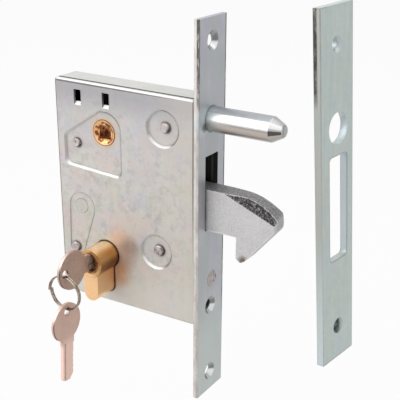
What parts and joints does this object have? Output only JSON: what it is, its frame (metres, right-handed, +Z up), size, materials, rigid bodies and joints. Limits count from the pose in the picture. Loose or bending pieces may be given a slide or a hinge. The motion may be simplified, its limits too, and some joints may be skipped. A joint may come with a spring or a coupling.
{
  "type": "gate_lock",
  "caption": "Mortice hook lock for a sliding gate: flat case, forend with guide pin and down-turned hook bolt, key cylinder with keys, and a slotted strike plate.",
  "frame": {"origin": "centre of the forend's back face, which seats on the gate, midway between its two fixing-screw holes", "axes": "+X out of the forend towards the strike, +Z up, cover side of the case faces -Y"},
  "size_m": [0.1781, 0.0977, 0.2358],
  "materials": {
    "case_zinc": "zinc plated sheet, satin",
    "forend_zinc": "zinc plated plate, brushed",
    "strike_zinc": "zinc plated plate, satin",
    "rivet_steel": "steel, riveted over",
    "pin_steel": "bright zinc plated steel",
    "hook_cast": "zinc plated casting, granular",
    "spring_steel": "drawn spring wire",
    "lever_steel": "stamped steel",
    "follower_brass": "cast brass, worn",
    "cylinder_brass": "turned and milled brass, satin",
    "key_nickel": "nickel plated brass, satin",
    "ring_steel": "nickel plated spring steel"
  },
  "bodies": {
    "lock_case": {"case_tray": "case_zinc", "case_cover": "case_zinc", "forend_plate": "forend_zinc", "forend_rivet": "rivet_steel", "guide_pin": "pin_steel", "upper_post": "rivet_steel", "corner_post": "rivet_steel", "lower_post": "rivet_steel", "lever_pivot_pin": "rivet_steel", "hook_pivot_pin": "rivet_steel", "hook_spring": "spring_steel", "lever_spring": "spring_steel", "cylinder_body": "cylinder_brass", "far_plug": "cylinder_brass", "far_plug_clip": "spring_steel", "near_driver_pins": "lever_steel", "near_pin_springs": "spring_steel", "far_key_pins": "cylinder_brass", "far_driver_pins": "lever_steel", "far_pin_springs": "spring_steel", "strike_plate": "strike_zinc"},
    "turning_plug": {"near_plug": "cylinder_brass", "cylinder_cam": "lever_steel", "near_key_pins": "cylinder_brass", "near_plug_clip": "spring_steel"},
    "lever": {"lifting_lever": "lever_steel"},
    "hook": {"hook_bolt": "hook_cast"},
    "follower": {"follower_hub": "follower_brass"},
    "key": {"key_in_lock": "key_nickel"},
    "ring": {"key_ring": "ring_steel"},
    "spare": {"spare_key": "key_nickel"}
  },
  "joints": [
    {"name": "key_turn", "type": "hinge", "parent": "lock_case", "child": "turning_plug", "pos_m": [-0.0638, 0, -0.0345], "axis": [0, 1, 0], "range_deg": [0, 50]},
    {"name": "lever_swing", "type": "hinge", "parent": "lock_case", "child": "lever", "pos_m": [-0.082, 0, -0.0073], "axis": [0, 1, 0], "range_deg": [0, 11.25], "stiffness_Nm_per_rad": 0.05, "springref_deg": -17.19},
    {"name": "hook_swing", "type": "hinge", "parent": "lock_case", "child": "hook", "pos_m": [-0.0264, 0, -0.0239], "axis": [0, -1, 0], "range_deg": [0, 18.5], "stiffness_Nm_per_rad": 0.2, "springref_deg": -17.19},
    {"name": "follower_turn", "type": "hinge", "parent": "lock_case", "child": "follower", "pos_m": [-0.0641, 0, 0.04065], "axis": [0, -1, 0], "range_deg": [0, 22.5]},
    {"name": "key_slide", "type": "slide", "parent": "turning_plug", "child": "key", "axis": [0, -1, 0], "range_m": [0, 0.03]},
    {"name": "ring_swing", "type": "hinge", "parent": "key", "child": "ring", "pos_m": [-0.0638, -0.0502, -0.0334], "axis": [1, 0, 0], "range_deg": [-20, 15]},
    {"name": "spare_key_swing", "type": "hinge", "parent": "ring", "child": "spare", "pos_m": [-0.0638, -0.0502, -0.0542], "axis": [1, 0, 0], "range_deg": [-20, 20]}
  ],
  "couplings": [
    {"joint": "lever_swing", "follows": "key_turn", "ratio": 0.225},
    {"joint": "hook_swing", "follows": "key_turn", "ratio": 0.37},
    {"joint": "follower_turn", "follows": "key_turn", "ratio": 0.45}
  ]
}
